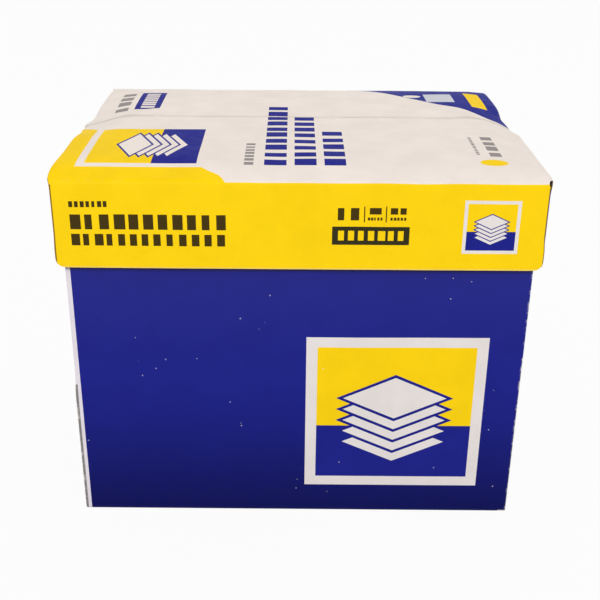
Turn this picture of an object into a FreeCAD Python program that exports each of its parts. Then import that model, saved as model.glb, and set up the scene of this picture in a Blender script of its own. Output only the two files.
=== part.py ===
import FreeCAD, Part

import os

import Sketcher

# A closed carton of copier paper: a folded board tray with five wrapped reams in it, under a lift-off lid.
# X runs along the long side of the sheets, Y from front to back, Z up.
# The origin is at the middle of the underside.

doc = FreeCAD.newDocument("paper_carton")
sheet = doc.addObject("Spreadsheet::Sheet", "sizes")

driving_sizes = {
    # the paper
    "sheet_long": 297.0,
    "sheet_wide": 210.0,
    "ream_thick": 50.4,
    "ream_count": 5,
    "wrap_edge": 1.5,
    "flap_thick": 0.4,
    "flap_reach": 34.0,
    "flap_slant": 26.0,
    # the board and the tray
    "board": 2.5,
    "pack_room": 1.5,
    "fold_inside": 0.8,
    "tray_tab_reach": 62.0,
    "tray_tab_margin": 5.0,
    "tab_taper": 9.0,
    "seam_wide": 0.7,
    "seam_deep": 1.1,
    # the lid
    "lid_wall": 60.0,
    "lid_room": 1.5,
    "rest_gap": 0.3,
    "lid_tab_reach": 54.0,
    "lid_tab_margin": 4.0,
    "lid_corner": 6.0,
    # the bulged top panel and the mark that a tight strap pressed across it
    "crease_back": 8.0,
    "crease_rise": 5.8,
    "strap_dent": 0.8,
    "strap_spread": 18.0,
    "ramp_run": 14.0,
    "front_ramp_rise": 3.2,
    "back_ramp_rise": 2.2,
    "front_crown": 5.4,
    "back_crown": 5.8,
    "front_edge_crown": 4.0,
    "back_edge_crown": 2.6,
    "shoulder": 40.0,
}


def fill_sheet():
    for row, (name, value) in enumerate(driving_sizes.items(), start=1):
        sheet.set(f"A{row}", name)
        sheet.set(f"B{row}", str(value))
        sheet.setAlias(f"B{row}", name)
    doc.recompute()


fill_sheet()

# where the lid's cross-sections stand: at shares of its shoulder, and one at a share of its half length
shoulder_shares = (0.25, 0.5, 0.75, 1.0)
middle_share = 0.65

# two places or lengths in millimetres that differ by less than this are the same
same = 1e-4

# Every size that follows from the driving ones is a named expression in their terms.
words = {name: "sizes." + name for name in driving_sizes}


def derive(name, text):
    words[name] = "(" + text.format(**words) + ")"


def spelled(text):
    return text.format(**words)


def value(text):
    return float(sheet.evalExpression(spelled(text)))


derive("fold_outside", "{fold_inside} + {board}")
derive("tray_x", "{sheet_long} / 2 + {pack_room} + {board}")
derive("tray_y", "{sheet_wide} / 2 + {pack_room} + 2 * {board}")
derive("tray_top", "{board} + {ream_count} * {ream_thick}")
derive("lid_x", "{tray_x} + {lid_room} + {board}")
derive("lid_y", "{tray_y} + {lid_room} + 2 * {board}")
derive("lid_under", "{tray_top} + {rest_gap}")
derive("lid_top", "{lid_under} + {board}")
derive("lid_low", "{lid_top} - {lid_wall}")
derive("bulge_y", "{tray_y} - {board}")
derive("ramp_y", "{bulge_y} - {ramp_run}")


def origin_plane(body, role):
    for feature in body.Origin.OriginFeatures:
        if feature.Role == role:
            return feature
    raise ValueError(role)


def new_body(label):
    body = doc.addObject("PartDesign::Body", label)
    body.Label = label
    return body


def new_sketch(body, name, role, offset="0"):
    """A sketch on one of the body's origin planes, moved along its normal by an expression."""
    sketch = body.newObject("Sketcher::SketchObject", name)
    sketch.AttachmentSupport = [(origin_plane(body, role), "")]
    sketch.MapMode = "FlatFace"
    sketch.setExpression("AttachmentOffset.Base.z", spelled(offset))
    return sketch


def bind(sketch, kind, *where, text):
    index = sketch.addConstraint(Sketcher.Constraint(kind, *where, value(text)))
    sketch.setExpression(f"Constraints[{index}]", spelled(text))


def pin(sketch, geometry, end, point):
    """Hold one end of a line or arc at a point given by two expressions."""
    bind(sketch, "DistanceX", -1, 1, geometry, end, text=point[0])
    bind(sketch, "DistanceY", -1, 1, geometry, end, text=point[1])


def located(point):
    return FreeCAD.Vector(value(point[0]), value(point[1]), 0)


def draw_outline(sketch, points, arcs=None):
    """A closed outline through the points. arcs gives, for the edge after a point, a place on its bend."""
    arcs = arcs or {}
    ends = []
    for index, point in enumerate(points):
        start = located(point)
        finish = located(points[(index + 1) % len(points)])
        if index in arcs:
            bend = Part.Arc(start, located(arcs[index]), finish)
            geometry = sketch.addGeometry(bend, False)
            first = 1 if sketch.getPoint(geometry, 1).distanceToPoint(start) < same else 2
            hold_bend(sketch, geometry, arcs[index])
        else:
            geometry = sketch.addGeometry(Part.LineSegment(start, finish), False)
            first = 1
        ends.append((geometry, first, 3 - first))
    for index, point in enumerate(points):
        geometry, first, _ = ends[index]
        before, _, last = ends[index - 1]
        sketch.addConstraint(Sketcher.Constraint("Coincident", before, last, geometry, first))
        pin(sketch, geometry, first, point)


def hold_bend(sketch, arc, point):
    mark = sketch.addGeometry(Part.Point(located(point)), True)
    pin(sketch, mark, 1, point)
    sketch.addConstraint(Sketcher.Constraint("PointOnObject", mark, 1, arc))


def box_points(low_x, low_y, high_x, high_y):
    return [(low_x, low_y), (high_x, low_y), (high_x, high_y), (low_x, high_y)]


def add_pad(body, sketch, name, length, backwards=False):
    pad = body.newObject("PartDesign::Pad", name)
    pad.Profile = sketch
    pad.Reversed = backwards
    pad.setExpression("Length", spelled(length))
    body.Tip = pad
    doc.recompute()
    return pad


def add_pocket(body, sketch, name, length, backwards=False, both_ways=False):
    """A pocket that has to take material away, or the sketch points the wrong way."""
    before = body.Shape.Volume
    pocket = body.newObject("PartDesign::Pocket", name)
    pocket.Profile = sketch
    pocket.Reversed = backwards
    pocket.Midplane = both_ways
    pocket.setExpression("Length", spelled(length))
    body.Tip = pocket
    doc.recompute()
    if not body.Shape.Volume < before:
        raise ValueError(name + " takes nothing away")
    return pocket


def add_fillet(body, name, edges, radius):
    base = body.Tip
    fillet = body.newObject("PartDesign::Fillet", name)
    fillet.Base = (base, edges)
    fillet.setExpression("Radius", spelled(radius))
    body.Tip = fillet
    doc.recompute()
    return fillet


def add_tabs(body, name, corner_x, wall_y, low, high, reach):
    """Glued corner tabs: the ends of the side walls, folded round behind the front and back walls."""
    for side, offset, backwards in (("front", wall_y, True), ("back", "-" + wall_y, False)):
        sketch = new_sketch(body, f"{name}_{side}_outline", "XZ_Plane", offset)
        for sign in ("-", ""):
            free_x = f"{sign}({corner_x} - {reach})"
            root_x = f"{sign}{corner_x}"
            points = [
                (root_x, low),
                (free_x, f"{low} + {{tab_taper}}"),
                (free_x, f"{high} - {{tab_taper}}"),
                (root_x, high),
            ]
            draw_outline(sketch, points)
        add_pad(body, sketch, f"{name}_{side}", "{board}", backwards)


def add_seams(body, name, corner_x, wall_y, low, high):
    """The open seams beside the corners, where a cut wall end lies on a folded side wall."""
    for side, sign, backwards in (("left", "-", True), ("right", "", False)):
        sketch = new_sketch(body, f"{name}_{side}_outline", "YZ_Plane", sign + corner_x)
        for near in ("-", ""):
            seam_y = f"{near}({wall_y} - {{board}} - {{seam_wide}} / 2)"
            low_y = f"{seam_y} - {{seam_wide}} / 2"
            high_y = f"{seam_y} + {{seam_wide}} / 2"
            draw_outline(sketch, box_points(low_y, low, high_y, high))
        add_pocket(body, sketch, f"{name}_{side}", "{seam_deep}", backwards)


def long_edges(shape, level, width, depth):
    """Names of the edges at one height that run the whole width or depth, for the rounded folds."""
    names = []
    for number, edge in enumerate(shape.Edges, start=1):
        box = edge.BoundBox
        flat = abs(box.ZMin - level) < same and abs(box.ZMax - level) < same
        if flat and (abs(box.XLength - width) < same or abs(box.YLength - depth) < same):
            names.append(f"Edge{number}")
    return names


def build_tray():
    """The tray: floor, walls, corner tabs, and the strap's dents in the tops of the side walls."""
    body = new_body("carton_base")
    outline = new_sketch(body, "tray_outline", "XY_Plane")
    draw_outline(outline, box_points("-{tray_x}", "-{tray_y}", "{tray_x}", "{tray_y}"))
    add_pad(body, outline, "tray_block", "{tray_top}")

    width = 2 * value("{tray_x}")
    depth = 2 * value("{tray_y}")
    folds = long_edges(body.Shape, 0.0, width, depth)
    add_fillet(body, "tray_folds", folds, "{fold_outside}")

    room = new_sketch(body, "tray_room_outline", "XY_Plane", "{tray_top}")
    inside_x = "({tray_x} - {board})"
    inside_y = "({tray_y} - {board})"
    draw_outline(room, box_points("-" + inside_x, "-" + inside_y, inside_x, inside_y))
    add_pocket(body, room, "tray_room", "{tray_top} - {board}")

    low = "({board} + {tray_tab_margin})"
    high = "({tray_top} - {tray_tab_margin})"
    add_tabs(body, "tray_tabs", inside_x, inside_y, low, high, "{tray_tab_reach}")

    dent = new_sketch(body, "tray_dent_outline", "YZ_Plane")
    points = [
        ("{crease_back} - {strap_spread}", "{tray_top}"),
        ("{crease_back}", "{tray_top} - {strap_dent}"),
        ("{crease_back} + {strap_spread}", "{tray_top}"),
    ]
    draw_outline(dent, points)
    add_pocket(body, dent, "tray_dents", "2 * {tray_x}", both_ways=True)

    add_seams(body, "tray_seams", "{tray_x}", "{tray_y}", "{fold_outside}", "{tray_top}")
    return body


def swell(edge, middle, away):
    """A height that grows from its value at the side edge to its full value one shoulder further in."""
    share = f"sin(90 * min(1; ({away}) / {{shoulder}}))"
    return f"({edge} + ({middle} - {edge}) * {share})"


def lid_section(body, name, side, away, drop, inset):
    """The lid's cross-section at a distance from its side edge: walls, folds and the swollen top."""
    offset = f"{side}({{lid_x}} - {away})"
    sketch = new_sketch(body, name, "YZ_Plane", offset)
    wall = f"({{lid_y}} - {inset})"
    top = f"({{lid_top}} - {inset} - {drop})"
    bend = f"({{fold_outside}} - {inset})"
    corner = f"({bend} * (1 - sqrt(0.5)))"
    low = f"({{lid_low}} - {inset})"
    crease = f"({top} + {swell('-{strap_dent}', '{crease_rise}', away)})"
    front = f"({top} + {swell('{front_edge_crown}', '{front_crown}', away)})"
    back = f"({top} + {swell('{back_edge_crown}', '{back_crown}', away)})"
    points = [
        ("-" + wall, low),
        ("-" + wall, f"{top} - {bend}"),
        (f"-{wall} + {bend}", top),
        ("-{bulge_y}", top),
        ("-{ramp_y}", f"({top} + {{front_ramp_rise}})"),
        ("{crease_back}", crease),
        ("{ramp_y}", f"({top} + {{back_ramp_rise}})"),
        ("{bulge_y}", top),
        (f"{wall} - {bend}", top),
        (wall, f"{top} - {bend}"),
        (wall, low),
    ]
    arcs = {
        1: (f"-{wall} + {corner}", f"{top} - {corner}"),
        4: ("({crease_back} - {ramp_y}) / 2", front),
        5: ("({crease_back} + {ramp_y}) / 2", back),
        8: (f"{wall} - {corner}", f"{top} - {corner}"),
    }
    draw_outline(sketch, points, arcs)
    return sketch


def add_loft(body, kind, name, stations, inset):
    """A loft through the lid's cross-sections, from the left edge to the right one."""
    sections = []
    for side, order in (("-", stations), ("", stations[::-1])):
        for away, drop in order:
            label = f"{name}_section_{len(sections) + 1}"
            sections.append(lid_section(body, label, side, away, drop, inset))
    loft = body.newObject(kind, name)
    loft.Profile = sections[0]
    loft.Sections = sections[1:]
    loft.Ruled = True
    body.Tip = loft
    doc.recompute()
    return loft


def build_lid():
    """The lid: bulged top panel, four walls, corner tabs, rounded lower corners and open corner seams."""
    body = new_body("carton_lid")
    shoulders = [(f"{{shoulder}} * {share}", "0") for share in shoulder_shares]
    middle = [(f"{{lid_x}} * {middle_share}", "0")]
    corner = "{fold_outside} * (1 - sqrt(0.5))"
    rounded = [("0", "{fold_outside}"), (corner, corner), ("{fold_outside}", "0")]
    add_loft(body, "PartDesign::AdditiveLoft", "lid_block", rounded + shoulders + middle, "0")
    block = body.Shape.Volume
    inner = [("{board}", "0")]
    add_loft(body, "PartDesign::SubtractiveLoft", "lid_room", inner + shoulders + middle, "{board}")
    if not body.Shape.Volume < block:
        raise ValueError("the lid is not hollow")

    low = "({lid_low} + {lid_tab_margin})"
    high = "({lid_under} - {lid_tab_margin})"
    add_tabs(body, "lid_tabs", "({lid_x} - {board})", "({lid_y} - {board})", low, high, "{lid_tab_reach}")

    for side, offset, backwards in (("front", "{lid_y}", False), ("back", "-{lid_y}", True)):
        sketch = new_sketch(body, f"lid_corners_{side}_outline", "XZ_Plane", offset)
        bite = "({lid_corner} * (1 - sqrt(0.5)))"
        for sign in ("-", ""):
            points = [
                (f"{sign}{{lid_x}}", "{lid_low}"),
                (f"{sign}{{lid_x}}", "{lid_low} + {lid_corner}"),
                (f"{sign}({{lid_x}} - {{lid_corner}})", "{lid_low}"),
            ]
            draw_outline(sketch, points, {1: (f"{sign}({{lid_x}} - {bite})", f"{{lid_low}} + {bite}")})
        add_pocket(body, sketch, f"lid_corners_{side}", "{board}", backwards)

    add_seams(body, "lid_seams", "{lid_x}", "{lid_y}", "{lid_low}", "{lid_top} - {fold_outside}")
    return body


def build_ream(number):
    """One sealed ream: a block of sheets in a wrapper, whose ends are folded over the short sides."""
    body = new_body(f"ream_{number}")
    outline = new_sketch(body, f"ream_{number}_outline", "XY_Plane")
    half_x = "{sheet_long} / 2"
    half_y = "{sheet_wide} / 2"
    draw_outline(outline, box_points("-" + half_x, "-" + half_y, half_x, half_y))
    add_pad(body, outline, f"ream_{number}_block", "{ream_thick}")

    edges = [f"Edge{index + 1}" for index in range(len(body.Shape.Edges))]
    add_fillet(body, f"ream_{number}_edges", edges, "{wrap_edge}")

    for side, sign, backwards in (("left", "-", True), ("right", "", False)):
        flap = new_sketch(body, f"ream_{number}_{side}_flap_outline", "YZ_Plane", f"{sign}({half_x})")
        wide = "({sheet_wide} / 2 - {wrap_edge})"
        narrow = "({sheet_wide} / 2 - {wrap_edge} - {flap_slant})"
        low = "{wrap_edge}"
        high = "{flap_reach}"
        points = [("-" + wide, low), (wide, low), (narrow, high), ("-" + narrow, high)]
        draw_outline(flap, points)
        add_pad(body, flap, f"ream_{number}_{side}_flap", "{flap_thick}", backwards)

    body.setExpression("Placement.Base.z", spelled(f"{{board}} + {number - 1} * {{ream_thick}}"))
    return body


def check_document():
    for item in doc.Objects:
        if "Invalid" in item.State or "Error" in item.State:
            raise ValueError(item.Label + " did not build")


def check_piece(piece):
    shape = piece.Shape
    if shape.isNull() or not shape.isValid():
        raise ValueError(piece.Label + " has no valid shape")
    if len(shape.Solids) != 1:
        raise ValueError(f"{piece.Label} is {len(shape.Solids)} solids")


def write_pieces(pieces):
    os.makedirs("parts", exist_ok=True)
    for piece in pieces:
        piece.Shape.exportStep(os.path.join("parts", piece.Label + ".step"))
        box = piece.Shape.BoundBox
        lengths = [round(length, 2) for length in (box.XLength, box.YLength, box.ZLength)]
        print(piece.Label, lengths, "from z", round(box.ZMin, 2), "volume", round(piece.Shape.Volume))


tray = build_tray()
lid = build_lid()
reams = [build_ream(number) for number in range(1, int(value("{ream_count}")) + 1)]
doc.recompute()
check_document()
pieces = [tray, lid, *reams]
for piece in pieces:
    check_piece(piece)
write_pieces(pieces)
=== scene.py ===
import math

import bmesh
import bpy
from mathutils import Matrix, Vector, noise


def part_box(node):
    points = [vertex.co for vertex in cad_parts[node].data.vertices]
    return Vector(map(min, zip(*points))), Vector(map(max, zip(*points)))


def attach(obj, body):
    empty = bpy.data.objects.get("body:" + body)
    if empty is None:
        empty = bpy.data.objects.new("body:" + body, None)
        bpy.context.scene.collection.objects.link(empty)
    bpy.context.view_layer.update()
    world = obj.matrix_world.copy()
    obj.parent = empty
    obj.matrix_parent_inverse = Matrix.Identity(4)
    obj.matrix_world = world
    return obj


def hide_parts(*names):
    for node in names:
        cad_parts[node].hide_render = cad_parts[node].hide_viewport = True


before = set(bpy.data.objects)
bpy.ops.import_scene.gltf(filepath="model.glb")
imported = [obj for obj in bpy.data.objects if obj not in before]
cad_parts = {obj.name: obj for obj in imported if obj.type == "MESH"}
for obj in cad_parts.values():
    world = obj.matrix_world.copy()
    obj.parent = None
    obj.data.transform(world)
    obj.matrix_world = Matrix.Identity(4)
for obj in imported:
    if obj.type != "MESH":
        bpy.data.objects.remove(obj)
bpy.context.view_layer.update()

# A closed carton of copier paper: two folded sheets of board, the tray and its lid, round five wrapped reams.
# Each sheet is drawn as its flat blank, cut to its outline, and then folded up. All lengths are metres.

board = {
    "thick": 0.0025,
    "foldRadius": 0.0033,  # outside radius of every fold
    "tabSlack": 0.00012,  # glue line between a tab and its wall
    "seamGap": 0.0012,  # open slit beside each corner tab
    "step": 0.0034,  # widest face of the flat blank
    "foldSteps": 6,
    "cutRound": 0.0004,  # softened edge of the cut board
    "cutAngle": 50,  # edges sharper than this are softened
    "flute": 0.0063,  # from one flute of the corrugated sheet to the next
    "nearest": 0.00015,  # two lines of the blank closer than this become one
}

trayLow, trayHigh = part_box("carton_base")
lidLow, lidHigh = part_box("carton_lid")

tray = {
    "halfX": trayHigh.x,
    "halfY": trayHigh.y,
    "panelZ": trayLow.z,
    "wall": trayHigh.z - trayLow.z,
    "upwards": 1,
    "tabReach": 0.062,
    "tabMargin": 0.005,
    "cornerRound": 0.002,
    "printTurn": 0.5,  # how far round its folds the wall's print begins
    "wallShare": 0.93,  # share of the half width where a wall begins
    "bow": 0.0009,  # how far the full stack pushes the walls out
    "crumple": (24, 0.0003),  # unevenness: scale and height
    "rimDent": (0.0018, 0.9),  # the side walls' rims: pressed down, and from which share up
    "peel": (0.0010, 0.118),  # the front wall's left end stands out, up to there
    "peelShare": (0.986, 0.985, 0.8),  # it begins there along X and Y, and closes there
}

lid = {
    "halfX": lidHigh.x,
    "halfY": lidHigh.y,
    "wall": 0.060,
    "upwards": -1,
    "tabReach": 0.054,
    "tabMargin": 0.004,
    "cornerRound": 0.006,
    "printTurn": 0.66,
    "wallShare": 0.95,
    "frontBow": (0.0004, 0.1),  # the front wall bows out, from this depth
    "crumple": (38, 0.00035, 0.6),  # unevenness: scale, height, and its share along Y
    "swellDepth": 0.9,  # share of the walls that the swelling lifts
    "endSlack": {-1: 0.0004, 1: 0.0008},  # the front wall's ends fall short half way down
    "endShare": (0.98, 0.985),  # where those ends begin along X and Y
    "endDepth": (0.0, 0.04, 0.6, 0.8),  # they begin, are full, begin to close and are closed there
}
lid["panelZ"] = lidLow.z + lid["wall"]

swelling = {  # the lid's top panel, heights over its folds
    "front": 0.0053,
    "back": 0.0062,
    "frontEdge": {-1: 0.0041, 1: 0.0022},  # beside the left and the right fold
    "backEdge": {-1: 0.0012, 1: 0.0018},
    "edgeChange": 0.024,  # length in which the front height turns into the back's
    "shoulder": 0.035,  # strip along the side folds where the top comes down
    "start": 0.1147,
    "frontRise": (0.024, 0.009),  # length of the rise from the fold, in the middle and at a side
    "backRise": (0.030, 0.016),
    "riseSteep": 1.2,
    "creaseY": 0.0120,  # where the pressed line crosses the top
    "creaseBend": 0.0090,
    "creaseDeep": 0.0010,
    "creaseFall": 0.0042,  # half the width of the step down at the line
    "creaseBack": 0.032,  # how far behind it the panel has come up again
    "lip": (0.0004, 0.0035, 0.0055),  # raised edge before it: height, distance, width
    "creaseZone": (-0.003, 0.021),  # strip with closer lines of faces
    "creaseStep": 0.0013,
    "sideStart": (-0.118, -0.111),  # the side walls begin to stand out there
    "sideSwell": {-1: (0.0010, -0.060, -0.005), 1: (0.0013, -0.060, 0.008)},  # push, full until, none from
    "cornerSwell": {-1: (0.0009, -0.100, -0.072, 0.04), 1: (0.0007, -0.110, -0.098, 0.05)},
    "cornerDepth": 0.20,
    "bumpDepth": 0.3,
    "sideBumps": {  # on the side walls under the fold: place, width and push
        -1: [(0.0115, 0.0078, 0.0034), (-0.0070, 0.0085, 0.0018)],
        1: [(-0.0180, 0.0110, 0.0020), (-0.0125, 0.0055, 0.0013), (0.0350, 0.0120, -0.0008)],
    },
    "dentY": (-0.048, 0.010, 0.030, 0.058),  # the side folds are pressed in there
    "dentFloor": {-1: -0.0008, 1: -0.0016},
    "dentInwards": {-1: 1.0, 1: 1.7},
    "crushed": (0.0024, 0.143, 0.103),  # the back right corner: depth, and where it begins
    "ridgeHigh": 0.0011,  # a soft arched ridge behind the crease
    "ridgeWide": 0.0050,
    "ridgeReach": 0.053,
    "ridgeHalf": 0.135,
    "ridgeCurve": {-1: 1.7, 1: 1.2},
}


def smooth(low, high, value):
    share = min(1.0, max(0.0, (value - low) / (high - low)))
    return share * share * (3 - 2 * share)


def between(marks, value):
    # 0 outside the four marks, 1 between the middle two
    return smooth(marks[0], marks[1], value) * (1 - smooth(marks[2], marks[3], value))


def mixed(first, second, share):
    return first + (second - first) * share


def addObject(name, data):
    added = bpy.data.objects.new(name, data)
    bpy.context.scene.collection.objects.link(added)
    return added


# Flat blanks

def foldLines(half, sheet):
    # Where a fold starts and ends on the blank, and the free edge of the wall after it
    start = half - board["foldRadius"]
    end = start + board["foldRadius"] * math.pi / 2
    return start, end, end + sheet["wall"] - board["foldRadius"]


def spread(marks):
    # Places between the marks, close enough together for a smooth sheet
    places = []
    for low, high in zip(marks, marks[1:]):
        count = max(1, math.ceil((high - low) / board["step"]))
        places += [low + (high - low) * index / count for index in range(count)]
    return places + [marks[-1]]


def foldMarks(start, end, extra):
    count = board["foldSteps"]
    return [mixed(start, end, share) for share in [extra] + [index / count for index in range(count + 1)]]


def apart(places):
    # The places in order, without any that lies on top of another
    kept = []
    for place in sorted(places):
        if not kept or place - kept[-1] > board["nearest"]:
            kept.append(place)
    return kept


def mirrored(places):
    return [-place for place in places if place > 0]


def blankPlaces(sheet):
    # Where the blank is divided, so that every fold and free edge lies on a line of faces
    foldX, bentX, edgeX = foldLines(sheet["halfX"], sheet)
    foldY, bentY, edgeY = foldLines(sheet["halfY"], sheet)
    sideEnd = sheet["halfY"] - board["thick"] - board["tabSlack"] - board["foldRadius"]
    tabBent = sideEnd + board["foldRadius"] * math.pi / 2
    tabStart = bentX + sheet["tabMargin"]
    turn = sheet["printTurn"]
    marksX = [0.0, *foldMarks(foldX, bentX, turn), sheet["halfX"], sheet["halfX"] + board["seamGap"] / 2]
    marksX += [tabStart, edgeX - sheet["tabMargin"], edgeX, edgeX - sheet["cornerRound"]]
    marksY = [0.0, *foldMarks(foldY, bentY, turn), *foldMarks(sideEnd, tabBent, turn), edgeY]
    marksY += [tabBent + sheet["tabReach"], edgeY - sheet["cornerRound"]]
    rightX = spread(apart(marksX))
    backY = spread(apart(marksY))
    linesY = mirrored(backY) + backY
    if sheet is lid:
        low, high = swelling["creaseZone"]
        count = round((high - low) / swelling["creaseStep"])
        linesY += [mixed(low, high, index / count) for index in range(count + 1)]
    return {
        "x": apart(mirrored(rightX) + rightX),
        "y": apart(linesY),
        "foldX": foldX, "bentX": bentX, "edgeX": edgeX,
        "foldY": foldY, "bentY": bentY, "edgeY": edgeY,
        "sideEnd": sideEnd, "tabBent": tabBent, "tabStart": tabStart,
    }


def keepsFace(centre, sheet, flat):
    # Whether the blank has board there: the panel and its four walls, or a corner tab
    across, along = abs(centre.x), abs(centre.y)
    if along > flat["foldY"]:
        wallPart = across < sheet["halfX"] and along < flat["edgeY"]
    else:
        wallPart = across < flat["edgeX"] and (along < flat["sideEnd"] or across < sheet["halfX"])
    tabPart = flat["sideEnd"] < along < flat["tabBent"] + sheet["tabReach"]
    tabPart = tabPart and flat["tabStart"] < across < flat["edgeX"] - sheet["tabMargin"]
    return wallPart or tabPart


def cutBlank(sheet, flat):
    # The flat blank: a grid with its lines moved to the fold and cut places, then cut to its outline
    blank = bmesh.new()
    countX, countY = len(flat["x"]) - 1, len(flat["y"]) - 1
    bmesh.ops.create_grid(blank, x_segments=countX, y_segments=countY, size=1.0)
    for vert in blank.verts:
        vert.co.x = flat["x"][round((vert.co.x + 1) / 2 * countX)]
        vert.co.y = flat["y"][round((vert.co.y + 1) / 2 * countY)]
    waste = [face for face in blank.faces if not keepsFace(face.calc_center_median(), sheet, flat)]
    bmesh.ops.delete(blank, geom=waste, context="FACES")
    return blank


def bend(distance, start, radius):
    # How far a point has gone along and down from a fold's start: round the fold, then straight on
    angle = min(max((distance - start) / radius, 0.0), math.pi / 2)
    beyond = max(0.0, distance - start - radius * math.pi / 2)
    return radius * math.sin(angle), radius * (1 - math.cos(angle)) + beyond


def roundCorner(across, along, edgeA, edgeB, radius):
    # Draws the square free corner of a wall in to a quarter circle
    a = (across - (edgeA - radius)) / radius
    b = (along - (edgeB - radius)) / radius
    if a <= 0 or b <= 0:
        return across, along
    newA = a * math.sqrt(1 - b * b / 2)
    newB = b * math.sqrt(1 - a * a / 2)
    return edgeA - radius + newA * radius, edgeB - radius + newB * radius


def foldPoint(flatX, flatY, sheet, flat):
    # Where a point of the flat blank lies on the folded sheet's outer face
    signX = -1.0 if flatX < 0 else 1.0
    signY = -1.0 if flatY < 0 else 1.0
    across, along = abs(flatX), abs(flatY)
    radius = board["foldRadius"]
    drop = -sheet["upwards"]
    if along > flat["foldY"] and across <= sheet["halfX"] + 1e-7:
        across, along = roundCorner(across, along, sheet["halfX"], flat["edgeY"], sheet["cornerRound"])
        out, down = bend(along, flat["foldY"], radius)
        return Vector((signX * across, signY * (flat["foldY"] + out), sheet["panelZ"] - drop * down))
    out, down = bend(across, flat["foldX"], radius)
    x, y = flat["foldX"] + out if across > flat["foldX"] else across, along
    if along > flat["sideEnd"] and across <= sheet["halfX"] + 1e-7:
        share = (flat["foldY"] - along) / (flat["foldY"] - flat["sideEnd"])
        x = across + (x - across) * share
        down *= share
    elif along > flat["sideEnd"]:
        turned, inwards = bend(along, flat["sideEnd"], radius)
        x -= inwards
        y = flat["sideEnd"] + turned
    return Vector((signX * x, signY * y, sheet["panelZ"] - drop * down))


# Shapes of the bulged lid and of the full tray

def sideNearness(x):
    # 1 on a side fold, 0 further in than the shoulder
    away = (lid["halfX"] - abs(x)) / swelling["shoulder"]
    return 1 - math.sin(math.pi / 2 * min(1.0, max(0.0, away)))


def bulge(x, y):
    # Height of the top panel over its folds: swollen before and behind the crease, dented at its ends
    side = -1 if x < 0 else 1
    near = sideNearness(x)
    fromCrease = y - swelling["creaseY"] + swelling["creaseBend"] * near
    middle = mixed(swelling["front"], swelling["back"], smooth(0.0, swelling["creaseBack"], fromCrease))
    toBack = smooth(0.0, swelling["edgeChange"], y)
    edge = mixed(swelling["frontEdge"][side], swelling["backEdge"][side], toBack)
    reach = swelling["frontRise"] if y < swelling["creaseY"] else swelling["backRise"]
    fromFold = max(0.0, swelling["start"] - abs(y))
    steep = swelling["riseSteep"]
    height = mixed(middle, edge, near) * math.tanh(steep * fromFold / mixed(reach[0], reach[1], near))
    dented = between(swelling["dentY"], y) * near ** swelling["dentInwards"][side]
    height = mixed(height, swelling["dentFloor"][side], dented)
    fall = smooth(-swelling["creaseFall"], swelling["creaseFall"], fromCrease)
    fall *= 1 - smooth(swelling["creaseFall"], swelling["creaseBack"], fromCrease)
    lipHigh, lipAway, lipWide = swelling["lip"]
    lip = lipHigh * math.exp(-((fromCrease + lipAway) / lipWide) ** 2)
    height += (lip - swelling["creaseDeep"] * fall) * (1 - near)
    depth, fromX, fromY = swelling["crushed"]
    height -= depth * smooth(fromX, lid["halfX"], x) * smooth(fromY, lid["halfY"], y)
    outward = min(1.0, abs(x) / swelling["ridgeHalf"]) ** swelling["ridgeCurve"][side]
    fromRidge = (y - swelling["creaseY"] - swelling["ridgeReach"] * (1 - outward)) / swelling["ridgeWide"]
    return height + swelling["ridgeHigh"] * math.exp(-fromRidge ** 2) * (1 - near)


def sidePush(side, y, depth):
    # How far the lid's side walls stand out: beside the swelling in front, and where the crease ends
    push, full, none = swelling["sideSwell"][side]
    front = push * (1 - smooth(full, none, y))
    push, full, none, start = swelling["cornerSwell"][side]
    front += push * (1 - smooth(full, none, y)) * (1 - smooth(start, swelling["cornerDepth"], depth))
    front *= smooth(*swelling["sideStart"], y)
    for place, wide, push in swelling["sideBumps"][side]:
        bump = push * math.exp(-((y - place) / wide) ** 2)
        front += bump * (1 - smooth(0.0, swelling["bumpDepth"], depth))
    return front


def onWalls(point, sheet):
    # 1 on a side wall and on the front or back wall, 0 further in
    onSide = smooth(sheet["wallShare"], 1.0, abs(point.x) / sheet["halfX"])
    return onSide, smooth(sheet["wallShare"], 1.0, abs(point.y) / sheet["halfY"])


def shapeLid(point):
    side = -1 if point.x < 0 else 1
    depth = (lid["panelZ"] - point.z) / lid["wall"]
    onSide, onFront = onWalls(point, lid)
    hold = 1 - smooth(0.0, lid["swellDepth"], depth)
    height = bulge(point.x, point.y) * hold
    endX, endY = lid["endShare"]
    slack = lid["endSlack"][side] * smooth(endX, 1.0, abs(point.x) / lid["halfX"])
    slack *= between(lid["endDepth"], depth)
    onEnd = smooth(endY, 1.0, -point.y / lid["halfY"])
    bowOut, bowDepth = lid["frontBow"]
    bow = bowOut * (1 - (point.x / lid["halfX"]) ** 2) * onFront * smooth(bowDepth, 1.0, depth)
    scale, high, shareY = lid["crumple"]
    crumple = noise.noise(point * scale) * high
    point.x += side * (sidePush(side, point.y, depth) * onSide - slack * onEnd)
    point.y += math.copysign(bow, point.y) + crumple * shareY
    point.z += height + crumple * hold


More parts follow.
